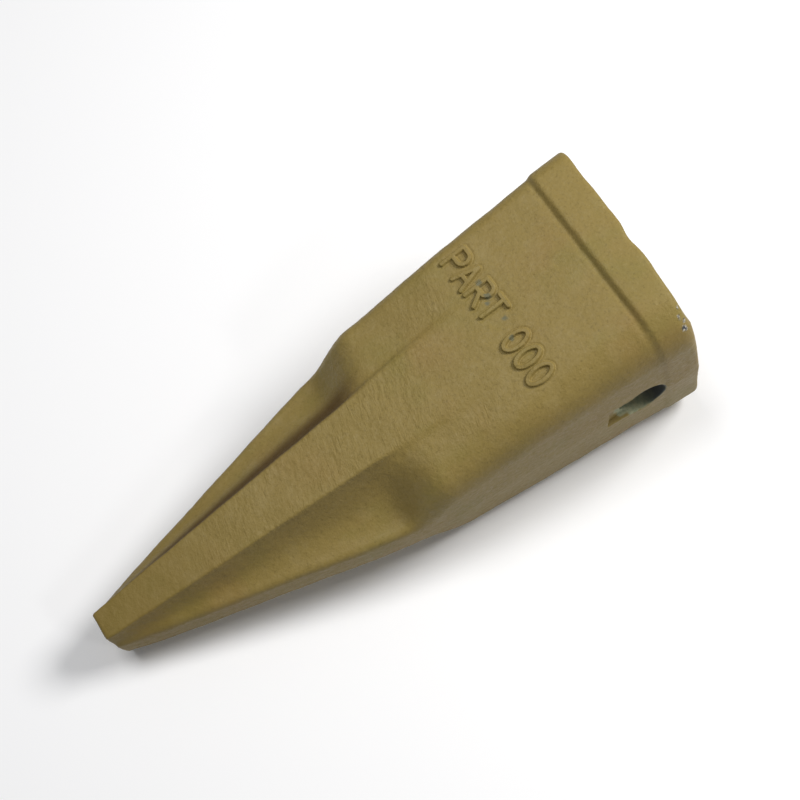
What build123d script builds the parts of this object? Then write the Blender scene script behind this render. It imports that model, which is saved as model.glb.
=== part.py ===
from build123d import *

import os
from math import atan2, cos, degrees, pi, radians, sin

os.makedirs("parts", exist_ok=True)

# A side-pinned bucket tooth: one hollow casting that slips over the adapter's nose, the cross pin
# that holds it there, and the retainer that keeps the pin in: a split spring ring carried in an
# elastomer cushion. The adapter is another object and isn't modelled.
#
# Every piece is drawn about the nose axis: X = 0 at the rear face and +X towards the tip, +Y along
# the cross pin, +Z up. The casting is the same above and below, and left and right, of that axis.
# The pieces are then turned to lie as the tooth rests on a floor, on the front edge of its lower
# collar and on its tip, with the origin on the floor below the middle. Lengths are in millimetres.

# --- casting: places along the nose axis ---
length = 194.0                    # rear face to tip
collar_length = 13.0              # raised band around the mouth
shoulder_start = 82.0             # where the top face begins to roll down into the flutes
side_end = 94.0                   # where the sides turn in and become the wings
flute_full = 99.0                 # where the flutes have come down to the wings' height
tip_turn = 180.0                  # where the wings curve in towards the blunt end

# --- casting: half sizes across the nose axis ---
collar_half_height = 34.2
plate_half_height = 33.0          # at the front of the collar
tip_half_height = 11.6
rear_half_width = 36.0            # at mid height
side_end_half_width = 31.3
turn_half_width = 11.0
tip_half_width = 6.6
side_draft = 2.0                  # how far the sides lean in from mid height to the top face
rear_corner = 8.5                 # rounding along the four long edges
tip_corner = 2.0
rib_rear_half_width = 11.2
rib_tip_half_width = 4.6
wing_rear_half_height = 8.4
wing_tip_half_height = 6.6
flute_hollow = 0.18               # depth of the flute's arc below its chord, as a share of the chord
flute_lift = 0.6                  # how far a flute's cutter starts above the top face
flute_outset = 2.0                # how far the wing's edge of the cutter lies outside the wing
least_sag = 0.02                  # keeps the cutter's arc from being a straight line
past_tip = 4.0                    # how far the cutter runs on past the tip
flute_stations = (78.0, 84.0, 89.0, 94.0, flute_full, 150.0, length + past_tip)

# --- socket for the adapter's nose ---
socket_depth = 85.0
mouth_half_width = 28.0
mouth_half_height = 25.5
seat_half_width = 22.5
seat_half_height = 14.0
mouth_corner = 6.0
seat_corner = 4.0
mouth_chamfer = 1.5

# --- pin bores, and the pry ramps ahead of them ---
bore_radius = 7.5
bore_station = 21.0               # from the rear face
ramp_length = 12.5                # from the bore's centre to the ramp's front end
ramp_half_width = 6.0
ramp_rear_depth = 3.4             # below the casting's side
ramp_front_depth = 1.6
ramp_tilt = 6.0                   # degrees that the ramp leans up towards its front end

# --- retaining pin ---
pin_radius = 7.0
pin_half_length = 30.0            # short of the casting's sides, so that the ends stay protected
pin_end_chamfer = 1.2
groove_radius = 5.4
groove_width = 3.9
retainer_place = -19.0            # the groove's middle, along the pin

# --- retainer ring and its cushion ---
ring_inner_radius = 5.8
ring_outer_radius = 9.0
ring_width = 3.1
ring_gap = 50.0                   # degrees left open so that the ring can spread
cushion_bore_radius = 7.6
cushion_outer_radius = 14.0
cushion_width = 8.0
cushion_rounding = 1.2

overrun = 20.0                    # how far a cutter reaches past what it cuts


def between(x, x0, x1, y0, y1):
    """The value at x on the straight line from (x0, y0) to (x1, y1)."""
    return y0 + (y1 - y0) * (x - x0) / (x1 - x0)


def top_height(x):
    """Height of the flat top face and of the rib's top, which lie in one sloping plane."""
    return between(x, collar_length, length, plate_half_height, tip_half_height)


def half_width(x):
    """Half width at mid height: the tapering sides, then the wings, then the blunt end."""
    if x <= side_end:
        return between(x, 0, side_end, rear_half_width, side_end_half_width)
    if x <= tip_turn:
        return between(x, side_end, tip_turn, side_end_half_width, turn_half_width)
    return between(x, tip_turn, length, turn_half_width, tip_half_width)


def station(x):
    """The plane across the nose axis at x, with its own x along +Y and its own y along +Z."""
    return Plane(origin=(x, 0, 0), x_dir=(0, 1, 0), z_dir=(1, 0, 0))


def outer_section(x, half_height):
    """One section of the casting's outside: six sides, with the four corners rounded."""
    wide = half_width(x)
    narrow = wide - side_draft * half_height / collar_half_height
    with BuildSketch(station(x)) as section:
        with BuildLine():
            Polyline(
                (wide, 0),
                (narrow, half_height),
                (-narrow, half_height),
                (-wide, 0),
                (-narrow, -half_height),
                (narrow, -half_height),
                close=True,
            )
        make_face()
        corners = section.vertices().filter_by(lambda corner: abs(corner.Z) > half_height / 2)
        fillet(corners, between(x, 0, length, rear_corner, tip_corner))
    return section.sketch


def flute_section(x):
    """One section of the cutter for the upper flute on the +Y side, open above and outside."""
    progress = min(max((x - shoulder_start) / (flute_full - shoulder_start), 0.0), 1.0)
    fall = (1 - cos(pi * progress)) / 2
    rib_y = between(x, shoulder_start, length, rib_rear_half_width, rib_tip_half_width)
    rib_z = top_height(x) + flute_lift
    wing_y = between(x, side_end, length, side_end_half_width, tip_half_width) + flute_outset
    wing_z = between(x, side_end, length, wing_rear_half_height, wing_tip_half_height)
    wing_z = wing_z * fall + (rib_z + flute_lift) * (1 - fall)
    middle_y = (rib_y + wing_y) / 2 + (wing_z - rib_z) * flute_hollow * fall
    middle_z = (rib_z + wing_z) / 2 - (wing_y - rib_y) * flute_hollow * fall - least_sag
    with BuildSketch(station(x)) as section:
        with BuildLine():
            ThreePointArc((rib_y, rib_z), (middle_y, middle_z), (wing_y, wing_z))
            Polyline(
                (wing_y, wing_z),
                (wing_y + overrun, wing_z),
                (wing_y + overrun, rib_z + overrun),
                (rib_y, rib_z + overrun),
                (rib_y, rib_z),
            )
        make_face()
    return section.sketch


def socket_section(x):
    """One section of the tapering socket: a rectangle with rounded corners."""
    wide = between(x, 0, socket_depth, mouth_half_width, seat_half_width)
    high = between(x, 0, socket_depth, mouth_half_height, seat_half_height)
    with BuildSketch(station(x)) as section:
        RectangleRounded(2 * wide, 2 * high, between(x, 0, socket_depth, mouth_corner, seat_corner))
    return section.sketch


# ---------------------------------------------------------------- tooth point: the casting
body_stations = (collar_length / 2, side_end, tip_turn, length)

with BuildPart() as tooth_point:
    # Collar: a band a little prouder than the top and bottom faces, flush with the sides.
    loft([outer_section(x, collar_half_height) for x in (0, collar_length)], ruled=True)

    # Main body and blade as one wedge, whose sides turn in at the shoulders.
    loft([outer_section(x, top_height(x)) for x in body_stations], ruled=True)

    # Four flutes, which leave a central rib and a wing to each side of it.
    flute = loft([flute_section(x) for x in flute_stations], ruled=True, mode=Mode.PRIVATE)
    upper_pair = [flute, mirror(flute, about=Plane.XZ, mode=Mode.PRIVATE)]
    lower_pair = [mirror(cutter, about=Plane.XY, mode=Mode.PRIVATE) for cutter in upper_pair]
    add([*upper_pair, *lower_pair], mode=Mode.SUBTRACT)

    # Socket for the nose, with a rounded seat at its end and a chamfered mouth.
    loft([socket_section(x) for x in (0, socket_depth)], ruled=True, mode=Mode.SUBTRACT)
    mouth = tooth_point.faces().sort_by(Axis.X)[0]
    chamfer(mouth.inner_wires()[0].edges(), mouth_chamfer)

    # Bores for the pin, through both side walls.
    with Locations(Location((bore_station, 0, 0), (90, 0, 0))):
        Hole(bore_radius)

    # Pry ramps: a squared recess ahead of each bore, deepest at the bore.
    tilt = radians(ramp_tilt)
    ramp_end = bore_station + ramp_length
    ramp_plane = Plane(
        origin=(bore_station, 0, 0),
        x_dir=(cos(tilt), 0, sin(tilt)),
        z_dir=(-sin(tilt), 0, cos(tilt)),
    )
    with BuildSketch(ramp_plane) as ramp:
        with BuildLine():
            Polyline(
                (0, half_width(bore_station) - ramp_rear_depth),
                (ramp_length, half_width(ramp_end) - ramp_front_depth),
                (ramp_length, half_width(ramp_end) + overrun),
                (0, half_width(bore_station) + overrun),
                close=True,
            )
        make_face()
        mirror(about=Plane.XZ)
    extrude(amount=ramp_half_width, both=True, mode=Mode.SUBTRACT)

# ---------------------------------------------------------------- retaining pin
pin_plane = Plane(origin=(bore_station, 0, 0), x_dir=(1, 0, 0), z_dir=(0, 1, 0))

with BuildPart() as retaining_pin:
    with BuildSketch(pin_plane):
        Circle(pin_radius)
    extrude(amount=pin_half_length, both=True)
    chamfer(retaining_pin.faces().filter_by(Axis.Y).edges(), pin_end_chamfer)
    with BuildSketch(pin_plane.offset(retainer_place)):
        Circle(2 * pin_radius)
        Circle(groove_radius, mode=Mode.SUBTRACT)
    extrude(amount=groove_width / 2, both=True, mode=Mode.SUBTRACT)

# ---------------------------------------------------------------- retainer ring: split, in the pin's groove
with BuildPart() as retainer_ring:
    with BuildSketch(pin_plane.offset(retainer_place)):
        Circle(ring_outer_radius)
        Circle(ring_inner_radius, mode=Mode.SUBTRACT)
        with BuildLine():
            half_gap = radians(ring_gap / 2)
            reach = 2 * ring_outer_radius
            Polyline(
                (0, 0),
                (reach * cos(half_gap), reach * sin(half_gap)),
                (reach * cos(half_gap), -reach * sin(half_gap)),
                close=True,
            )
        make_face(mode=Mode.SUBTRACT)
    extrude(amount=ring_width / 2, both=True)

# ---------------------------------------------------------------- retainer cushion: elastomer around the ring
with BuildPart() as retainer_cushion:
    with BuildSketch(pin_plane.offset(retainer_place)):
        Circle(cushion_outer_radius)
    extrude(amount=cushion_width / 2, both=True)
    fillet(retainer_cushion.faces().filter_by(Axis.Y).edges(), cushion_rounding)
    with BuildSketch(pin_plane.offset(retainer_place)):
        Circle(cushion_bore_radius)
    extrude(amount=cushion_width, both=True, mode=Mode.SUBTRACT)
    with BuildSketch(pin_plane.offset(retainer_place)):
        Circle(ring_outer_radius)
    extrude(amount=ring_width / 2, both=True, mode=Mode.SUBTRACT)

# ---------------------------------------------------------------- lay the pieces down and write them
rest_angle = degrees(atan2(collar_half_height - tip_half_height, length - collar_length))
turned = Rotation(0, rest_angle, 0)
turned_box = tooth_point.part.moved(turned).bounding_box()
middle = turned_box.center()
lying = Pos(-middle.X, -middle.Y, -turned_box.min.Z) * turned

for piece in (tooth_point, retaining_pin, retainer_ring, retainer_cushion):
    piece.part.move(lying)

tooth_point.part.label = "tooth_point"
retaining_pin.part.label = "retaining_pin"
retainer_ring.part.label = "retainer_ring"
retainer_cushion.part.label = "retainer_cushion"

export_step(tooth_point.part, "parts/tooth_point.step")
export_step(retaining_pin.part, "parts/retaining_pin.step")
export_step(retainer_ring.part, "parts/retainer_ring.step")
export_step(retainer_cushion.part, "parts/retainer_cushion.step")
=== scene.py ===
import math

import bmesh
import bpy
import numpy as np
from mathutils import Matrix, Vector


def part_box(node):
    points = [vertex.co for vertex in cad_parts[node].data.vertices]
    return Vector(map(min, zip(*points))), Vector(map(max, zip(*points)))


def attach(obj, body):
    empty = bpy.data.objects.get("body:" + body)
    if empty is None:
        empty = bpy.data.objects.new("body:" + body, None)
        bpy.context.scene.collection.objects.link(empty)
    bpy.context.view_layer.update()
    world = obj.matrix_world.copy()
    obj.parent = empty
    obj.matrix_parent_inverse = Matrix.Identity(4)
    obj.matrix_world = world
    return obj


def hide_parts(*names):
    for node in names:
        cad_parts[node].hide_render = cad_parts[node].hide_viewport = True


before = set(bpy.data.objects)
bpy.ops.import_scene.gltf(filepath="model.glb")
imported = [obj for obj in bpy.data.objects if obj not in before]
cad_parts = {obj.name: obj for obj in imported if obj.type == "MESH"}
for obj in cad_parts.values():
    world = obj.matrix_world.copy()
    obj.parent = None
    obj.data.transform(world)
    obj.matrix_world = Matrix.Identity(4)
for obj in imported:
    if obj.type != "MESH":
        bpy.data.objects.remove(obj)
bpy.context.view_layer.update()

MM = 0.001
SEED = 7

# The casting's surface is described in millimetres about the nose axis, as it is cast: x from the
# rear face to the tip, y along the pin, z up. REST_ANGLE and SHIFT lay it down in the row's frame.
LENGTH = 194.0
COLLAR_LENGTH = 13.0
COLLAR_HEIGHT = 34.2
PLATE_HEIGHT = 33.0
TIP_HEIGHT = 11.6
SHOULDER_START = 79.0
SIDE_END = 94.0
FLUTE_FULL = 99.0
TIP_TURN = 180.0
REAR_WIDTH = 36.0
SIDE_END_WIDTH = 31.3
TURN_WIDTH = 11.0
TIP_WIDTH = 6.6
SIDE_DRAFT = 2.0
RIB_REAR_WIDTH = 11.2
RIB_TIP_WIDTH = 4.6
RIB_FLANK = 2.2                    # how steeply the cutter stands over the rib's edge
WING_REAR_HEIGHT = 8.2
WING_TIP_HEIGHT = 6.4
SHOULDER_LENGTH = 20.5
LIP_HEIGHT = 33.7                  # the highest that the plate reaches, under the collar
SOCKET_DEPTH = 85.0
SOCKET_MOUTH = (28.0, 25.5, 6.0)   # half width, half height and corner radius
SOCKET_SEAT = (22.5, 14.0, 4.0)
BORE_RADIUS = 7.5
BORE_STATION = 21.0
RAMP_LENGTH = 12.5
RAMP_HALF_WIDTH = 6.0
RAMP_TILT = math.radians(6.0)
RAMP_REAR_FLOOR = 31.55
RAMP_FRONT_FLOOR = 32.7

# The casting's mesh
VOXEL = 0.55
MOST_FACES = 140000
REFINING_CUTS = 2
BORE_ZONE = 4.0                    # the middle of the bore and its ramp, ahead of the bore's axis

REST_ANGLE = math.atan2(COLLAR_HEIGHT - TIP_HEIGHT, LENGTH - COLLAR_LENGTH)
SHIFT_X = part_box("tooth_point")[0][0] / MM + COLLAR_HEIGHT * math.sin(REST_ANGLE)
SHIFT_Z = COLLAR_LENGTH * math.sin(REST_ANGLE) + COLLAR_HEIGHT * math.cos(REST_ANGLE)

# The mark cast on the top face
MARK = "PART 000"
MARK_TOP = 40.4
MARK_BASE = 48.6
MARK_START = -27.0
MARK_PITCH = 6.2
GLYPH_WIDTH = 4.6
STROKE = 0.62
MARK_RISE = 0.95


# ------------------------------------------------------------------ surface of the casting

def to_row(points):
    """Points about the nose axis, in mm, to the row's frame, in metres."""
    cosine, sine = math.cos(REST_ANGLE), math.sin(REST_ANGLE)
    x, y, z = points.T
    return np.column_stack((x * cosine + z * sine + SHIFT_X, y, -x * sine + z * cosine + SHIFT_Z)) * MM


def to_nose(points):
    """Points in the row's frame, in metres, to the nose axis, in mm."""
    cosine, sine = math.cos(REST_ANGLE), math.sin(REST_ANGLE)
    x = points[:, 0] / MM - SHIFT_X
    z = points[:, 2] / MM - SHIFT_Z
    return np.column_stack((x * cosine - z * sine, points[:, 1] / MM, x * sine + z * cosine))


def between(x, x0, x1, y0, y1):
    """The value at x on the line from (x0, y0) to (x1, y1)."""
    return y0 + (y1 - y0) * (x - x0) / (x1 - x0)


def step(x, x0, x1):
    """A smooth step from 0 at x0 to 1 at x1."""
    t = np.clip((x - x0) / (x1 - x0), 0, 1)
    return t * t * (3 - 2 * t)


def both(a, b, radius):
    """The overlap of two shapes, with the edge between them rounded."""
    u = np.maximum(a + radius, 0)
    v = np.maximum(b + radius, 0)
    return np.minimum(np.maximum(a, b), -radius) + np.hypot(u, v)


def either(a, b, radius):
    """The union of two shapes, with a fillet between them."""
    return -both(-a, -b, radius)


def soft_min(a, b, width):
    """The lower of two lines, blended over about a width."""
    h = np.clip(0.5 + 0.5 * (b - a) / width, 0, 1)
    return b * (1 - h) + a * h - width * h * (1 - h)


def top_height(x):
    """Height of the sloping top face and of the rib's top."""
    return between(x, COLLAR_LENGTH, LENGTH, PLATE_HEIGHT, TIP_HEIGHT)


def rib_half_width(x):
    """Half width of the central rib."""
    return between(x, SHOULDER_START, LENGTH, RIB_REAR_WIDTH, RIB_TIP_WIDTH)


def half_width(x):
    """Half width at mid height, where the sides, the wings and the tip's curve meet smoothly."""
    side = between(x, 0, SIDE_END, REAR_WIDTH, SIDE_END_WIDTH)
    wing = between(x, SIDE_END, TIP_TURN, SIDE_END_WIDTH, TURN_WIDTH)
    tip = between(x, TIP_TURN, LENGTH, TURN_WIDTH, TIP_WIDTH)
    return soft_min(soft_min(side, wing, 2.0), tip, 1.5) + 0.6 * np.exp(-((x - 116) / 20) ** 2)


def flute_height(x, y, left):
    """Height of the hollow surface beside the rib, at a distance y from the middle."""
    rib_y = rib_half_width(x)
    wing_y = np.maximum(half_width(x), rib_y + 2)
    rib_z = top_height(x)
    wing_z = between(x, SIDE_END, LENGTH, WING_REAR_HEIGHT, WING_TIP_HEIGHT)
    across = np.clip((y - rib_y) / (wing_y - rib_y), 0, 1.3)
    # The shoulder rolls over gently and ends in a tighter foot, a little later beside the rib.
    start = SHOULDER_START + 2.0 + 1.5 * (1 - across)
    fall = step(x, start, start + SHOULDER_LENGTH) ** 1.5
    # Ahead of it the plate dips away from the rib, so the rib's edges run on into the plate.
    ledge = np.where(left, 1.25, 0.55) * step(y - rib_y, 0, 2.2) * step(x, 44, 78) * (1 - fall)
    dip = 1.5 * step(x, 52, 82) * (1 - fall)
    clear = 4.0 * (1 - step(x, 36, 50))
    wing_z = wing_z * fall + rib_z * (1 - fall) - dip
    curve = np.where(x < 84, 1.6, np.clip(1.6 + 1.1 * (x - 84) / 14, 1.6, 2.7))
    hollow = (1 - np.clip(across, 0, 1)) ** curve
    inner = rib_z + (rib_y - y) * RIB_FLANK
    return np.where(y < rib_y, inner, wing_z + (rib_z - wing_z) * hollow - ledge) + clear


def glyph_strokes(letter):
    """A letter's strokes as lists of points in a box one unit wide and high."""
    def arc(cx, cy, rx, ry, start, end, count=9):
        angles = np.radians(np.linspace(start, end, count))
        return [(cx + rx * math.cos(a), cy + ry * math.sin(a)) for a in angles]

    bowl = [(0, 1), (0.55, 1), *arc(0.6, 0.74, 0.4, 0.26, 90, -90), (0, 0.48)]
    shapes = {
        "P": [[(0, 0), (0, 1)], bowl],
        "R": [[(0, 0), (0, 1)], bowl, [(0.45, 0.48), (1, 0)]],
        "A": [[(0, 0), (0.5, 1), (1, 0)], [(0.22, 0.36), (0.78, 0.36)]],
        "T": [[(0, 1), (1, 1)], [(0.5, 0), (0.5, 1)]],
        "0": [arc(0.5, 0.5, 0.46, 0.5, 0, 360, 25)],
    }
    return shapes.get(letter, [])


def mark_segments():
    """The mark's strokes as segments on the top face: arrays of start and end points (x, y)."""
    random = np.random.default_rng(SEED)
    starts, ends = [], []
    for place, letter in enumerate(MARK):
        drift = random.uniform(-0.25, 0.25, 2)
        for stroke in glyph_strokes(letter):
            points = [
                (
                    MARK_BASE - v * (MARK_BASE - MARK_TOP) + drift[0] + 0.02 * place,
                    MARK_START + place * MARK_PITCH + u * GLYPH_WIDTH + drift[1],
                )
                for u, v in stroke
            ]
            starts.extend(points[:-1])
            ends.extend(points[1:])
    return np.array(starts), np.array(ends)


MARK_STARTS, MARK_ENDS = mark_segments()


def mark_relief(points):
    """How far the cast mark stands out at each point."""
    relief = np.zeros(len(points))
    x, y, z = points.T
    near = (z > 15) & (x > MARK_TOP - 3) & (x < MARK_BASE + 3) & (np.abs(y) < REAR_WIDTH)
    flat = points[near][:, :2]
    nearest = np.full(len(flat), 99.0)
    for start, end in zip(MARK_STARTS, MARK_ENDS):
        along = end - start
        t = np.clip(((flat - start) @ along) / (along @ along + 1e-9), 0, 1)
        nearest = np.minimum(nearest, np.hypot(*(flat - start - t[:, None] * along).T))
    relief[near] = MARK_RISE * (1 - step(nearest, STROKE - 0.1, STROKE + 0.2))
    # The metal dips a little around the strokes, where the pattern's letters were pressed in.
    relief[near] -= 0.14 * np.exp(-((nearest - STROKE - 0.5) / 0.3) ** 2)
    return relief


def waves(points, count, low, high, stretch, seed):
    """Seeded smooth noise: a sum of sine waves, with wavelengths from low to high mm."""
    random = np.random.default_rng(seed)
    total = np.zeros(len(points))
    for _ in range(count):
        direction = random.normal(size=3) / np.array(stretch)
        direction /= np.linalg.norm(direction * np.array(stretch))
        length = random.uniform(low, high)
        phase = random.uniform(0, 2 * math.pi)
        total += np.sin(2 * math.pi / length * (points @ direction) + phase)
    return total / math.sqrt(count)


def wrinkled(points):
    """Where the metal's flow left ripples: on the rib and near the shoulders."""
    x, y, z = points.T
    across = np.abs(y)
    upper = step(np.abs(z) - top_height(x), -2.5, -0.5)
    on_rib = step(x, 54, 80) * (1 - step(x, 130, 186)) * (1 - step(across, 10.5, 12))
    near_side = 0.8 * step(across, 14, 20) * step(x, 44, 58) * (1 - step(x, 84, 94))
    near_crease = 0.6 * step(across, 8, 12) * (1 - step(across, 17, 21))
    near_crease *= step(x, 50, 60) * (1 - step(x, 86, 94))
    return upper * np.clip(on_rib + near_side + near_crease, 0, 1)


def socket_walls(points):
    """Distances past the socket's side walls and past its upper and lower walls, and its corner radius."""
    x, y, z = points[:, 0], np.abs(points[:, 1]), np.abs(points[:, 2])
    wide, high, corner = (between(x, 0, SOCKET_DEPTH, *ends) for ends in zip(SOCKET_MOUTH, SOCKET_SEAT))
    return y - wide, z - high, corner


def bore_distance(x, z):
    """Distance outwards from the wall of the pin's bore."""
    return np.hypot(x - BORE_STATION, z) - BORE_RADIUS


def flow_wrinkles(points):
    """The ripples' coarser waves, and a gentle unevenness."""
    x, y = points[:, 0], points[:, 1]
    bend = x - 0.25 * y + 0.7 * waves(points, 10, 12, 40, (1, 1, 1), SEED + 1)
    ripple = np.sin(2 * math.pi * bend / 2.3 + 2.6 * waves(points, 10, 5, 14, (1, 1, 1), SEED + 2))
    patchy = np.clip(0.5 + 0.7 * waves(points, 8, 9, 26, (1, 1, 1), SEED + 3), 0, 1.2)
    strength = wrinkled(points) * patchy
    uneven = 0.09 * waves(points, 24, 9, 30, (1, 1, 1), SEED + 4)
    grain = 0.03 * waves(points, 40, 2.2, 4.5, (1, 1, 1), SEED + 5)
    return 0.035 * strength * ripple + uneven + grain


def corner_radius(points):
    """Rounding of the long edges: the cast corners differ, and the upper one at +Y is the fullest."""
    x = np.clip(points[:, 0], 0, LENGTH)
    rear = np.where(points[:, 1] < 0, 5.0, np.where(points[:, 2] > 0, 14.0, 9.5))
    ahead = step(x, 80, 106)
    return between(x, 0, SHOULDER_START, rear, 0.7 * rear) * (1 - ahead) + 2.2 * ahead


def surface(points):
    """Signed distance, roughly, from the casting's surface: negative inside the metal."""
    x, y, z = points[:, 0], np.abs(points[:, 1]), np.abs(points[:, 2])
    slope = (PLATE_HEIGHT - TIP_HEIGHT) / (LENGTH - COLLAR_LENGTH)
    side = y - half_width(x) + SIDE_DRAFT * z / COLLAR_HEIGHT
    top = (z - np.minimum(top_height(x), LIP_HEIGHT)) / math.hypot(1, slope)
    corner = corner_radius(points)

    left = points[:, 1] < 0
    flute = flute_height(x, y, left)
    rise_x = flute_height(x + 0.3, y, left) - flute_height(x - 0.3, y, left)
    rise_y = flute_height(x, y + 0.3, left) - flute_height(x, y - 0.3, left)
    flute = (z - flute) / np.sqrt(1 + (rise_x / 0.6) ** 2 + (rise_y / 0.6) ** 2)
    outside = both(both(top, flute, 0.4), side, corner)

    collar = both(z - COLLAR_HEIGHT, side, corner)
    collar = both(collar, x - COLLAR_LENGTH, 1.4)
    outside = either(outside, collar, 1.4)
    # The step's foot is undercut slightly, along the top and round the corner.
    foot = 0.22 * np.exp(-((x - COLLAR_LENGTH - 0.9) / 0.9) ** 2) * (1 - step(y - half_width(x), -6, -2))
    outside = outside + foot

    row_y = points[:, 1]
    wave = 0.3 + 0.9 * np.exp(-((row_y - 1.5) / 4.0) ** 2) + 1.5 * step(row_y, 0, 32)
    rear = wave * np.maximum(step(z, 20, 33), step(row_y, 24, 38)) - x
    outside = both(outside, rear, 1.4 + 2.8 * step(row_y, 22, 31) * step(points[:, 2], 12, 26))
    outside = both(outside, x - LENGTH, 1.0)

    socket = both(*socket_walls(points))
    socket = both(socket, x - SOCKET_DEPTH, 3.0)
    casting = both(outside, -socket, 1.6)
    casting = both(casting, -bore_distance(x, z), 0.5)

    signed_z = points[:, 2]
    ahead = (x - BORE_STATION) * math.cos(RAMP_TILT) + signed_z * math.sin(RAMP_TILT)
    across = signed_z * math.cos(RAMP_TILT) - (x - BORE_STATION) * math.sin(RAMP_TILT)
    floor = between(x, BORE_STATION, BORE_STATION + RAMP_LENGTH, RAMP_REAR_FLOOR, RAMP_FRONT_FLOOR)
    ramp = both(np.abs(across) - RAMP_HALF_WIDTH, ahead - RAMP_LENGTH, 0.8)
    ramp = both(both(ramp, -ahead, 0.1), floor - y, 0.3)
    casting = both(casting, -ramp, 0.4)
    return casting


def relief(points):
    """The fine relief that stands out from the surface, everywhere but in the socket and the bores."""
    x, z = points[:, 0], points[:, 2]
    past_sides, past_top, _ = socket_walls(points)
    socket = np.maximum(np.maximum(past_sides, past_top), x - SOCKET_DEPTH)
    outside = step(socket, 0.5, 1.5) * step(bore_distance(x, z), 0.1, 0.8)
    return (mark_relief(points) + flow_wrinkles(points)) * outside


def slope_of(points, reach=0.12):
    """Gradient of the surface function."""
    parts = []
    for axis in range(3):
        offset = np.zeros(3)
        offset[axis] = reach
        parts.append((surface(points + offset) - surface(points - offset)) / (2 * reach))
    return np.column_stack(parts)


def settle(points, rounds):
    """Moves points onto the surface."""
    raised = relief(points)
    for _ in range(rounds):
        gradient = slope_of(points)
        size = np.maximum((gradient ** 2).sum(axis=1), 0.3)
        move = (surface(points) - raised)[:, None] * gradient / size[:, None]
        far = np.maximum(np.linalg.norm(move, axis=1) / 1.0, 1)
        points = points - move / far[:, None]
    return points


def relax(points, edges, amount):
    """Moves each point towards the middle of its neighbours."""
    count = np.bincount(edges.ravel(), minlength=len(points))
    mean = np.empty_like(points)
    for axis in range(3):
        total = np.bincount(edges[:, 0], points[edges[:, 1], axis], len(points))
        total += np.bincount(edges[:, 1], points[edges[:, 0], axis], len(points))
        mean[:, axis] = total / np.maximum(count, 1)
    return points + amount * (mean - points)


def applied(piece, kind, **settings):
    """The piece's mesh with one modifier applied."""
    modifier = piece.modifiers.new(kind.lower(), kind)
    for name, value in settings.items():
        setattr(modifier, name, value)
    evaluated = piece.evaluated_get(bpy.context.evaluated_depsgraph_get())
    mesh = bpy.data.meshes.new_from_object(evaluated)
    piece.modifiers.clear()
    old = piece.data
    piece.data = mesh
    bpy.data.meshes.remove(old)
    return mesh


def vertices_of(mesh):
    values = np.empty(len(mesh.vertices) * 3)
    mesh.vertices.foreach_get("co", values)
    return values.reshape(-1, 3)


def refine(mesh):
    """Splits the triangles under the mark and round the pin's bore, and lays them on the surface again."""
    points = to_nose(vertices_of(mesh))
    x, y, z = points.T
    mark = (x > MARK_TOP - 1.6) & (x < MARK_BASE + 1.6) & (z > 20) & (y > MARK_START - 2) & (y < -MARK_START)
    bore = (np.hypot(x - BORE_STATION - BORE_ZONE, z) < BORE_RADIUS + 7) & (y > 29)
    inside = mark | bore
    detail = bmesh.new()
    detail.from_mesh(mesh)
    edges = [edge for edge in detail.edges if inside[edge.verts[0].index] and inside[edge.verts[1].index]]
    bmesh.ops.subdivide_edges(detail, edges=edges, cuts=REFINING_CUTS, use_grid_fill=True)
    bmesh.ops.triangulate(detail, faces=detail.faces)
    detail.to_mesh(mesh)
    detail.free()
    points = to_nose(vertices_of(mesh))
    x, y, z = points.T
    near = (z > 20) & (x > MARK_TOP - 3) & (x < MARK_BASE + 3)
    near |= (np.hypot(x - BORE_STATION - BORE_ZONE, z) < BORE_RADIUS + 8) & (y > 28)
    points[near] = settle(points[near], 3)
    low, high = (np.array(corner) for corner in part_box("tooth_point"))
    mesh.vertices.foreach_set("co", np.clip(to_row(points), low, high).ravel())
    mesh.update()


def make_casting():
    """The cast tooth, as a dense mesh laid on the surface described above."""
    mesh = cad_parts["tooth_point"].data.copy()
    piece = bpy.data.objects.new("cast_tooth", mesh)
    bpy.context.scene.collection.objects.link(piece)
    mesh = applied(piece, "REMESH", mode="VOXEL", voxel_size=VOXEL * MM, adaptivity=0.0)
    edges = np.empty(len(mesh.edges) * 2, dtype=np.int64)
    mesh.edges.foreach_get("vertices", edges)
    edges = edges.reshape(-1, 2)
    points = settle(to_nose(vertices_of(mesh)), 5)
    for _ in range(3):
        points = settle(relax(points, edges, 0.5), 1)
    points = settle(points, 1)
    row = to_row(points)
    low, high = (np.array(corner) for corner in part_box("tooth_point"))
    row = np.clip(row, low, high)
    mesh.vertices.foreach_set("co", row.ravel())
    mesh.update()
    triangles = 2 * len(mesh.polygons)
    if triangles > MOST_FACES:
        applied(piece, "DECIMATE", ratio=MOST_FACES / triangles)
    refine(piece.data)
    piece.data.shade_smooth()
    piece.data.materials.clear()
    return piece


# ------------------------------------------------------------------ where the surface is bare or worn, and where shade is painted

CHIPS = [  # place about the nose axis in mm, and radius: knocks at the collar's rear corner
    ((2.6, 26.3, 32.4), 0.5),
    ((3.6, 28.6, 31.2), 0.7),
    ((2.6, 30.2, 29.8), 0.8),
    ((3.4, 31.6, 28.2), 0.8),
    ((2.2, 24.2, 33.0), 0.4),
    ((66.5, -27.5, 26.4), 0.7),
]
MARK_SPOTS = [  # place on the top face, and radius: thin paint beside the mark
    ((43.0, -14.5), 0.9),
    ((43.5, -9.5), 0.9),
    ((44.8, -8.3), 0.6),
    ((43.2, -1.5), 0.7),
    ((45.0, 5.0), 0.6),
]
BORE_PITS = [((24.9, 31.2, -5.6), 0.55), ((26.2, 31.6, -4.4), 0.5), ((27.2, 32.0, -3.3), 0.45)]


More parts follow.
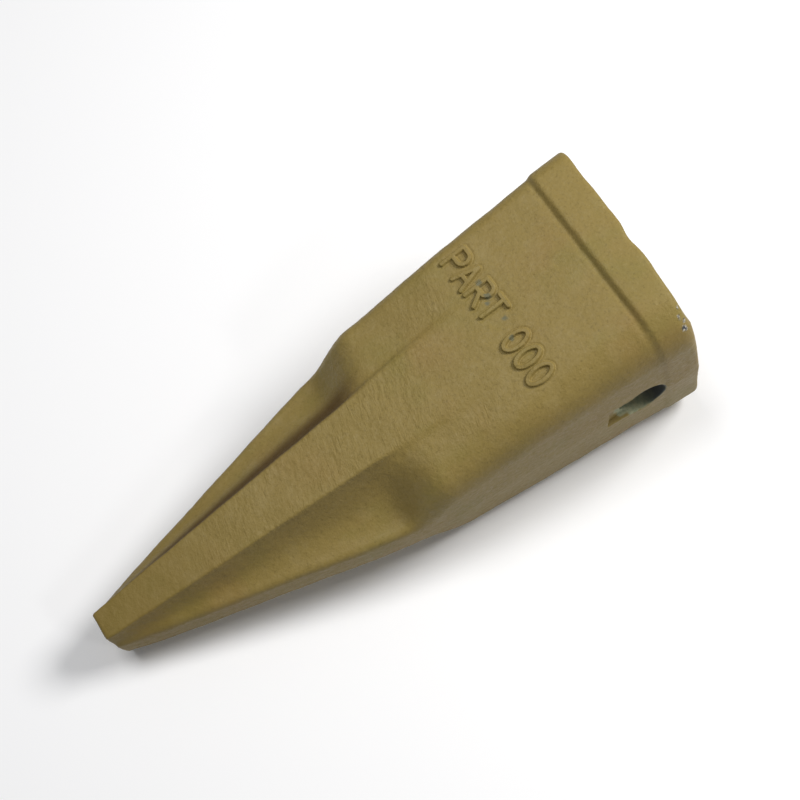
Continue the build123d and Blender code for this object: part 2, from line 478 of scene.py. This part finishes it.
def add_masks(piece):
    """Writes the casting's masks as vertex attributes for its material."""
    points = to_nose(vertices_of(piece.data))
    x, y, z = points[:, 0], np.abs(points[:, 1]), np.abs(points[:, 2])
    ragged = waves(points, 20, 1.2, 4.0, (1, 1, 1), SEED + 6)
    gradient = slope_of(points)
    normal = gradient / np.maximum(np.linalg.norm(gradient, axis=1), 0.2)[:, None]
    reach = 2.0
    # hollow marks the creases and recesses, where shade is painted into the colour.
    hollow = np.clip((reach - surface(points + reach * normal)) / reach, 0, 1)
    proud = np.clip((reach + surface(points - reach * normal)) / reach, 0, 1)

    past_sides, past_top, _ = socket_walls(points)
    socket = np.maximum(np.maximum(past_sides, past_top), x - SOCKET_DEPTH)
    inside = 1 - step(socket, 0.2, 1.6)
    bore_wall = 1 - step(bore_distance(x, z) + 0.12 * ragged, 0.0, 0.5)
    below_side = step(half_width(x) - y, 1.0, 1.6)
    on_ramp = below_side * step(x, BORE_STATION, BORE_STATION + 1) * (z < 8.0)
    on_ramp *= 1 - step(x + 0.5 * ragged, BORE_STATION + 8.4, BORE_STATION + 9.6)
    bare = np.clip(np.maximum(bore_wall, on_ramp * (1 - inside)), 0, 1)

    # Painted shade deep in the bore, darkest towards its rear.
    bore_shade = bore_wall * (1 - step(x + 0.4 * z, BORE_STATION - 3, BORE_STATION + 5))
    # Painted shade on the steep sides that face along Y.
    side_shade = step(np.abs(normal[:, 1]), 0.55, 0.95)
    round_bore = (np.hypot(x - BORE_STATION - BORE_ZONE, z) < BORE_RADIUS + 6) & (y > 31)
    hollow = hollow * (1 - 0.7 * round_bore)
    # Painted shade lies along the foot of the rib, mostly on the -Y side.
    rib_y = rib_half_width(x)
    wing_y = np.maximum(half_width(x), rib_y + 2)
    flank = np.clip((y - rib_y) / (wing_y - rib_y), -1, 1)
    rib_foot_shade = step(flank, -0.03, 0.05) * (1 - step(flank, 0.18, 0.52)) * step(x, 84, 100)
    rib_foot_shade *= np.where(points[:, 1] < 0, 1.0, 0.10) * (1 - step(x, 150, 194) * 0.5)

    chips = np.zeros(len(points))
    for place, radius in CHIPS:
        far = np.linalg.norm(points - np.array(place), axis=1) + 0.35 * radius * ragged
        chips = np.maximum(chips, 1 - step(far, radius * 0.7, radius * 1.1))
    spots = np.zeros(len(points))
    for (px, py), radius in MARK_SPOTS:
        far = np.hypot(x - px, points[:, 1] - py) + 0.5 * radius * ragged
        spots = np.maximum(spots, (1 - step(far, radius * 0.5, radius * 1.6)) * (points[:, 2] > 15))
    pits = np.zeros(len(points))
    for place, radius in BORE_PITS:
        far = np.linalg.norm(points - np.array(place), axis=1)
        pits = np.maximum(pits, 1 - step(far, radius * 0.8, radius * 1.3))

    masks = {
        "hollow": hollow, "proud": proud, "inside": inside, "bare": bare,
        "chips": chips, "spots": spots, "pits": pits, "ripples": wrinkled(points), "rib_foot_shade": rib_foot_shade,
        "side_shade": side_shade, "bore_shade": bore_shade,
    }
    for name, values in masks.items():
        attribute = piece.data.attributes.new(name, "FLOAT", "POINT")
        attribute.data.foreach_set("value", np.ascontiguousarray(values, dtype=np.float32))


# ------------------------------------------------------------------ materials

class Shader:
    """A Principled material that is built from short calls."""

    def __init__(self, name):
        self.material = bpy.data.materials.new(name)
        self.material.use_nodes = True
        self.tree = self.material.node_tree
        self.surface = self.tree.nodes["Principled BSDF"]
        self.place = self.tree.nodes.new("ShaderNodeTexCoord").outputs["Object"]

    def link(self, value, socket):
        if isinstance(value, bpy.types.NodeSocket):
            self.tree.links.new(value, socket)
        elif isinstance(value, tuple):
            socket.default_value = (*value, 1.0)
        else:
            socket.default_value = value

    def stretched(self, x, y, z, turn=0.0):
        """The place on the object, turned about Z and then scaled along each axis."""
        turned = self.tree.nodes.new("ShaderNodeMapping")
        self.link(self.place, turned.inputs["Vector"])
        turned.inputs["Rotation"].default_value = (0.0, 0.0, turn)
        node = self.tree.nodes.new("ShaderNodeMapping")
        self.link(turned.outputs["Vector"], node.inputs["Vector"])
        node.inputs["Scale"].default_value = (x, y, z)
        return node.outputs["Vector"]

    def along(self, axis):
        """The place on the object along one axis, in metres."""
        node = self.tree.nodes.new("ShaderNodeSeparateXYZ")
        self.link(self.place, node.inputs["Vector"])
        return node.outputs[axis]

    def noise(self, size_mm, detail=3.0, roughness=0.55, place=None, distortion=0.0):
        node = self.tree.nodes.new("ShaderNodeTexNoise")
        self.link(place or self.place, node.inputs["Vector"])
        node.inputs["Scale"].default_value = 1 / (size_mm * MM)
        node.inputs["Detail"].default_value = detail
        node.inputs["Roughness"].default_value = roughness
        node.inputs["Distortion"].default_value = distortion
        return node.outputs["Fac"]

    def cells(self, size_mm):
        node = self.tree.nodes.new("ShaderNodeTexVoronoi")
        self.link(self.place, node.inputs["Vector"])
        node.inputs["Scale"].default_value = 1 / (size_mm * MM)
        return node.outputs["Distance"]

    def ramp(self, value, low, high, out_low=0.0, out_high=1.0):
        """A value remapped and held between two limits."""
        node = self.tree.nodes.new("ShaderNodeMapRange")
        self.link(value, node.inputs["Value"])
        names = ("From Min", "From Max", "To Min", "To Max")
        for name, number in zip(names, (low, high, out_low, out_high)):
            node.inputs[name].default_value = number
        return node.outputs["Result"]

    def math(self, kind, a, b):
        node = self.tree.nodes.new("ShaderNodeMath")
        node.operation = kind
        self.link(a, node.inputs[0])
        self.link(b, node.inputs[1])
        return node.outputs[0]

    def mix(self, amount, a, b, blend="MIX"):
        node = self.tree.nodes.new("ShaderNodeMix")
        node.data_type = "RGBA"
        node.blend_type = blend
        self.link(amount, node.inputs["Factor"])
        self.link(a, node.inputs[6])
        self.link(b, node.inputs[7])
        return node.outputs[2]

    def mask(self, name):
        node = self.tree.nodes.new("ShaderNodeAttribute")
        node.attribute_name = name
        return node.outputs["Fac"]

    def bump(self, height, depth_mm, strength=1.0, below=None):
        node = self.tree.nodes.new("ShaderNodeBump")
        node.inputs["Distance"].default_value = depth_mm * MM
        node.inputs["Strength"].default_value = strength
        self.link(height, node.inputs["Height"])
        if below is not None:
            self.link(below, node.inputs["Normal"])
        return node.outputs["Normal"]

    def finish(self, colour, roughness, normal, metallic=0.0, specular=0.5):
        self.link(colour, self.surface.inputs["Base Color"])
        self.link(roughness, self.surface.inputs["Roughness"])
        self.link(normal, self.surface.inputs["Normal"])
        self.surface.inputs["Metallic"].default_value = metallic
        self.surface.inputs["Specular IOR Level"].default_value = specular
        return self.material


KHAKI = (0.238, 0.174, 0.052)
KHAKI_WARM = (0.246, 0.168, 0.052)
KHAKI_GREEN = (0.212, 0.166, 0.044)
KHAKI_DARK = (0.075, 0.052, 0.013)
KHAKI_DEEP = (0.180, 0.125, 0.028)
KHAKI_PALE = (0.330, 0.262, 0.125)
RIB_FOOT_SHADE = (0.070, 0.034, 0.006)
BARE_STEEL = (0.330, 0.330, 0.205)
BARE_GREEN = (0.220, 0.245, 0.155)
SPOT_GREY = (0.085, 0.105, 0.080)
CHIP_PALE = (0.420, 0.395, 0.330)
CHIP_AND_SHADE_DARK = (0.045, 0.050, 0.058)
SOCKET_DULL = (0.110, 0.092, 0.060)
SOCKET_RUST = (0.150, 0.085, 0.040)


def cast_paint():
    """Satin khaki paint over a sand-cast skin, with bare bores, chips and a dull socket, and with painted
    shade in the hollows, on the sides, along the rib's foot and deep in the bore.
    """
    s = Shader("cast_paint")
    warm = s.ramp(s.noise(34, 2.0), 0.50, 0.68)
    green = s.ramp(s.noise(22, 3.0, place=s.stretched(1.0, 1.3, 0.8)), 0.52, 0.70)
    colour = s.mix(s.math("MULTIPLY", warm, 0.75), KHAKI, KHAKI_WARM)
    colour = s.mix(s.math("MULTIPLY", green, 0.70), colour, KHAKI_GREEN)
    # Fine mottling of the sprayed coat, and the pale crests and dark pits of the cast skin.
    fine = s.noise(0.9, 4.0, 0.65)
    colour = s.mix(s.ramp(fine, 0.55, 0.78, 0.0, 0.35), colour, KHAKI_PALE)
    colour = s.mix(s.ramp(fine, 0.45, 0.25, 0.0, 0.40), colour, KHAKI_DARK)
    colour = s.mix(s.ramp(s.noise(7, 4.0, 0.6), 0.52, 0.75, 0.0, 0.22), colour, KHAKI_PALE)
    colour = s.mix(s.ramp(s.along("X"), 0.04, 0.11, 0.0, 0.75), colour, KHAKI_DEEP)
    # Painted shade darkens the hollows and creases.
    colour = s.mix(s.ramp(s.mask("hollow"), 0.10, 0.60, 0.0, 0.62), colour, KHAKI_DARK)
    # Painted shade along the foot of the rib, mostly on the -Y side.
    colour = s.mix(s.math("MULTIPLY", s.mask("rib_foot_shade"), 0.88), colour, RIB_FOOT_SHADE)
    # Painted shade on the steep sides.
    colour = s.mix(s.math("MULTIPLY", s.mask("side_shade"), 0.22), colour, KHAKI_DARK)
    worn = s.math("MULTIPLY", s.ramp(s.mask("proud"), 0.35, 0.9), s.ramp(s.noise(1.6, 4.0), 0.42, 0.62))
    colour = s.mix(s.math("MULTIPLY", worn, 0.35), colour, KHAKI_PALE)

    dull = s.mix(s.ramp(s.noise(6, 5.0, 0.65), 0.45, 0.65), SOCKET_DULL, SOCKET_RUST)
    dull = s.mix(s.ramp(s.noise(1.1, 4.0), 0.50, 0.72, 0.0, 0.4), dull, KHAKI)
    colour = s.mix(s.mask("inside"), colour, dull)
    bare = s.mix(s.ramp(s.noise(1.8, 5.0, 0.7), 0.42, 0.62), BARE_STEEL, BARE_GREEN)
    # Painted shade deep in the bore.
    bare = s.mix(s.math("MULTIPLY", s.mask("bore_shade"), 0.93), bare, CHIP_AND_SHADE_DARK)
    colour = s.mix(s.mask("bare"), colour, bare)
    colour = s.mix(s.math("MULTIPLY", s.mask("spots"), 0.65), colour, SPOT_GREY)
    chipped = s.mix(s.ramp(s.noise(0.7, 3.0), 0.44, 0.56), CHIP_PALE, CHIP_AND_SHADE_DARK)
    colour = s.mix(s.mask("chips"), colour, chipped)
    colour = s.mix(s.mask("pits"), colour, CHIP_AND_SHADE_DARK)

    rough = s.ramp(s.noise(1.3, 3.0), 0.3, 0.7, 0.40, 0.58)
    rough = s.math("ADD", rough, s.math("MULTIPLY", s.mask("inside"), 0.25))
    rough = s.math("ADD", rough, s.math("MULTIPLY", s.mask("hollow"), 0.12))
    rough = s.math("ADD", rough, s.math("MULTIPLY", s.mask("rib_foot_shade"), 0.38))
    skin = s.bump(s.noise(1.7, 3.0, 0.55), 0.22, 0.8)
    skin = s.bump(s.noise(0.6, 2.0, 0.5), 0.11, 0.8, skin)
    sand = s.ramp(s.cells(2.6), 0.0, 0.35)
    skin = s.bump(sand, 0.06, 0.5, skin)
    # Short wrinkles lie across the metal's flow.
    creased = s.noise(1.1, 3.0, 0.6, place=s.stretched(1.0, 0.2, 1.0, turn=0.25), distortion=0.6)
    patchy = s.ramp(s.noise(9, 2.0), 0.35, 0.65, 0.3, 1.0)
    creased = s.math("MULTIPLY", s.math("MULTIPLY", creased, patchy), s.mask("ripples"))
    skin = s.bump(creased, 0.34, 0.9, skin)
    return s.finish(colour, rough, skin, specular=0.18)


def turned_steel(name, base, dark, size_mm, rough):
    """Machined steel with turning marks round the pin's axis, an oily film and light stains."""
    s = Shader(name)
    rings = s.noise(0.5, 2.0, place=s.stretched(0.05, 1.0, 0.05))
    stain = s.ramp(s.noise(size_mm, 5.0, 0.65), 0.48, 0.70)
    colour = s.mix(s.math("MULTIPLY", stain, 0.7), base, dark)
    colour = s.mix(s.ramp(rings, 0.5, 0.75, 0.0, 0.3), colour, dark)
    roughness = s.ramp(s.noise(2.0, 4.0), 0.3, 0.7, rough, rough + 0.22)
    normal = s.bump(rings, 0.03, 0.6)
    return s.finish(colour, roughness, normal, metallic=0.9)


def cushion_rubber():
    """Matt black moulded elastomer with a bloom of dust and a fine grain."""
    s = Shader("cushion_rubber")
    bloom = s.ramp(s.noise(5, 5.0, 0.6), 0.45, 0.75, 0.0, 0.6)
    colour = s.mix(bloom, (0.020, 0.020, 0.021), (0.060, 0.058, 0.052))
    roughness = s.ramp(s.noise(1.5, 3.0), 0.3, 0.7, 0.62, 0.82)
    normal = s.bump(s.noise(0.4, 3.0), 0.05, 0.7)
    return s.finish(colour, roughness, normal, specular=0.35)


# ------------------------------------------------------------------ the pieces

casting = make_casting()
add_masks(casting)
casting.data.materials.append(cast_paint())
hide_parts("tooth_point")
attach(casting, "tooth")

CAD_FINISHES = {
    "retaining_pin": turned_steel("pin_steel", (0.30, 0.30, 0.29), (0.13, 0.11, 0.09), 6.0, 0.28),
    "retainer_ring": turned_steel("spring_steel", (0.16, 0.16, 0.17), (0.07, 0.06, 0.05), 3.0, 0.34),
    "retainer_cushion": cushion_rubber(),
}
for node, material in CAD_FINISHES.items():
    for material_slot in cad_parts[node].material_slots:
        material_slot.material = material


# ------------------------------------------------------------------ floor, light and camera

FLOOR_SIZE = 3.0
CAMERA_PLACE = Vector((0.0501, 0.1539, 0.4750))
CAMERA_AIM = Vector((-0.0130, -0.0060, 0.0350))
CAMERA_UP = Vector((-0.526, -0.772, 0.356))       # where the top of the picture points
CAMERA_LENS = 70.3


def aimed(place, aim, up):
    """A matrix at place that looks at aim, with up towards the top."""
    back = (place - aim).normalized()
    right = up.cross(back).normalized()
    matrix = Matrix((right, back.cross(right), back)).transposed().to_4x4()
    matrix.translation = place
    return matrix


def add_floor():
    half = FLOOR_SIZE / 2
    mesh = bpy.data.meshes.new("floor")
    corners = [(-half, -half, 0), (half, -half, 0), (half, half, 0), (-half, half, 0)]
    mesh.from_pydata(corners, [], [(0, 1, 2, 3)])
    floor = bpy.data.objects.new("floor", mesh)
    floor.location.z = -0.0003
    bpy.context.scene.collection.objects.link(floor)
    s = Shader("floor")
    s.surface.inputs["Base Color"].default_value = (0.93, 0.93, 0.94, 1.0)
    s.surface.inputs["Roughness"].default_value = 0.9
    s.surface.inputs["Specular IOR Level"].default_value = 0.1
    floor.data.materials.append(s.material)


def add_light(name, place, aim, size, power, colour=(1.0, 1.0, 1.0)):
    lamp = bpy.data.lights.new(name, "AREA")
    lamp.shape = "DISK"
    lamp.size = size
    lamp.energy = power
    lamp.color = colour
    light = bpy.data.objects.new(name, lamp)
    light.matrix_world = aimed(Vector(place), Vector(aim), Vector((0, 1, 0.01)))
    bpy.context.scene.collection.objects.link(light)


def add_world(strength):
    world = bpy.data.worlds.new("studio")
    world.use_nodes = True
    world.node_tree.nodes["Background"].inputs["Color"].default_value = (0.96, 0.98, 1.0, 1.0)
    world.node_tree.nodes["Background"].inputs["Strength"].default_value = strength
    bpy.context.scene.world = world


add_floor()
add_world(0.18)
add_light("key", (-0.48, 0.07, 0.57), (0, 0, 0.02), 0.30, 4.2, (1.0, 0.99, 0.97))
add_light("soft_top", (0.17, -0.26, 1.06), (0, 0, 0), 0.42, 4.4)
add_light("edge_sheen", (-0.26, 0.52, 0.58), (0, 0, 0.03), 0.10, 0.45)

camera_data = bpy.data.cameras.new("camera")
camera_data.lens = CAMERA_LENS
camera_data.sensor_width = 36.0
camera = bpy.data.objects.new("camera", camera_data)
camera.matrix_world = aimed(CAMERA_PLACE, CAMERA_AIM, CAMERA_UP)
bpy.context.scene.collection.objects.link(camera)
bpy.context.scene.camera = camera
bpy.context.scene.view_settings.view_transform = "Standard"
